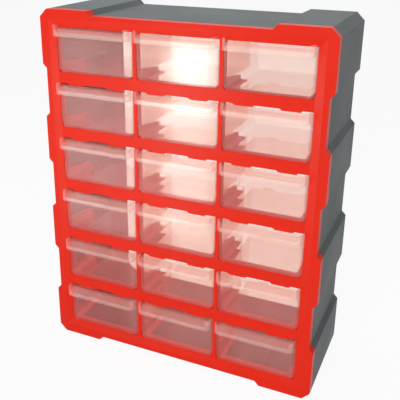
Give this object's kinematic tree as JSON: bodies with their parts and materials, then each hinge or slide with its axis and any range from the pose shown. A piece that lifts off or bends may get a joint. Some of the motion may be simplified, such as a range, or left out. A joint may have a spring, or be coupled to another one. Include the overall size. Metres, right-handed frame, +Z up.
{
  "type": "parts cabinet",
  "caption": "Free-standing cabinet for small parts: an open-backed grey housing, a red front frame with drawer runners, and clear pull-out drawers with a lipped handle.",
  "frame": {"origin": "under the middle of the cabinet, on the surface that it stands on, midway between the front of the handles and the back", "axes": "+X to the right seen from the front, +Y from the front to the back, +Z up"},
  "size_m": [0.38, 0.157, 0.475],
  "materials": {
    "housing_plastic": "slate grey moulded plastic, fine satin grain",
    "frame_plastic": "orange-red moulded plastic, soft gloss",
    "drawer_plastic": "clear polystyrene-like plastic, glossy, slightly warm"
  },
  "bodies": {
    "cabinet": {"housing": "housing_plastic", "front_frame": "frame_plastic"},
    "drawer_r1c1": {"drawer_r1c1": "drawer_plastic"},
    "drawer_r1c2": {"drawer_r1c2": "drawer_plastic"},
    "drawer_r1c3": {"drawer_r1c3": "drawer_plastic"},
    "drawer_r2c1": {"drawer_r2c1": "drawer_plastic"},
    "drawer_r2c2": {"drawer_r2c2": "drawer_plastic"},
    "drawer_r2c3": {"drawer_r2c3": "drawer_plastic"},
    "drawer_r3c1": {"drawer_r3c1": "drawer_plastic"},
    "drawer_r3c2": {"drawer_r3c2": "drawer_plastic"},
    "drawer_r3c3": {"drawer_r3c3": "drawer_plastic"},
    "drawer_r4c1": {"drawer_r4c1": "drawer_plastic"},
    "drawer_r4c2": {"drawer_r4c2": "drawer_plastic"},
    "drawer_r4c3": {"drawer_r4c3": "drawer_plastic"},
    "drawer_r5c1": {"drawer_r5c1": "drawer_plastic"},
    "drawer_r5c2": {"drawer_r5c2": "drawer_plastic"},
    "drawer_r5c3": {"drawer_r5c3": "drawer_plastic"},
    "drawer_r6c1": {"drawer_r6c1": "drawer_plastic"},
    "drawer_r6c2": {"drawer_r6c2": "drawer_plastic"},
    "drawer_r6c3": {"drawer_r6c3": "drawer_plastic"}
  },
  "joints": [
    {"name": "slide_r1c1", "type": "slide", "parent": "cabinet", "child": "drawer_r1c1", "axis": [0, -1, 0], "range_m": [0, 0.107]},
    {"name": "slide_r1c2", "type": "slide", "parent": "cabinet", "child": "drawer_r1c2", "axis": [0, -1, 0], "range_m": [0, 0.107]},
    {"name": "slide_r1c3", "type": "slide", "parent": "cabinet", "child": "drawer_r1c3", "axis": [0, -1, 0], "range_m": [0, 0.107]},
    {"name": "slide_r2c1", "type": "slide", "parent": "cabinet", "child": "drawer_r2c1", "axis": [0, -1, 0], "range_m": [0, 0.107]},
    {"name": "slide_r2c2", "type": "slide", "parent": "cabinet", "child": "drawer_r2c2", "axis": [0, -1, 0], "range_m": [0, 0.107]},
    {"name": "slide_r2c3", "type": "slide", "parent": "cabinet", "child": "drawer_r2c3", "axis": [0, -1, 0], "range_m": [0, 0.107]},
    {"name": "slide_r3c1", "type": "slide", "parent": "cabinet", "child": "drawer_r3c1", "axis": [0, -1, 0], "range_m": [0, 0.107]},
    {"name": "slide_r3c2", "type": "slide", "parent": "cabinet", "child": "drawer_r3c2", "axis": [0, -1, 0], "range_m": [0, 0.107]},
    {"name": "slide_r3c3", "type": "slide", "parent": "cabinet", "child": "drawer_r3c3", "axis": [0, -1, 0], "range_m": [0, 0.107]},
    {"name": "slide_r4c1", "type": "slide", "parent": "cabinet", "child": "drawer_r4c1", "axis": [0, -1, 0], "range_m": [0, 0.107]},
    {"name": "slide_r4c2", "type": "slide", "parent": "cabinet", "child": "drawer_r4c2", "axis": [0, -1, 0], "range_m": [0, 0.107]},
    {"name": "slide_r4c3", "type": "slide", "parent": "cabinet", "child": "drawer_r4c3", "axis": [0, -1, 0], "range_m": [0, 0.107]},
    {"name": "slide_r5c1", "type": "slide", "parent": "cabinet", "child": "drawer_r5c1", "axis": [0, -1, 0], "range_m": [0, 0.107]},
    {"name": "slide_r5c2", "type": "slide", "parent": "cabinet", "child": "drawer_r5c2", "axis": [0, -1, 0], "range_m": [0, 0.107]},
    {"name": "slide_r5c3", "type": "slide", "parent": "cabinet", "child": "drawer_r5c3", "axis": [0, -1, 0], "range_m": [0, 0.107]},
    {"name": "slide_r6c1", "type": "slide", "parent": "cabinet", "child": "drawer_r6c1", "axis": [0, -1, 0], "range_m": [0, 0.107]},
    {"name": "slide_r6c2", "type": "slide", "parent": "cabinet", "child": "drawer_r6c2", "axis": [0, -1, 0], "range_m": [0, 0.107]},
    {"name": "slide_r6c3", "type": "slide", "parent": "cabinet", "child": "drawer_r6c3", "axis": [0, -1, 0], "range_m": [0, 0.107]}
  ]
}
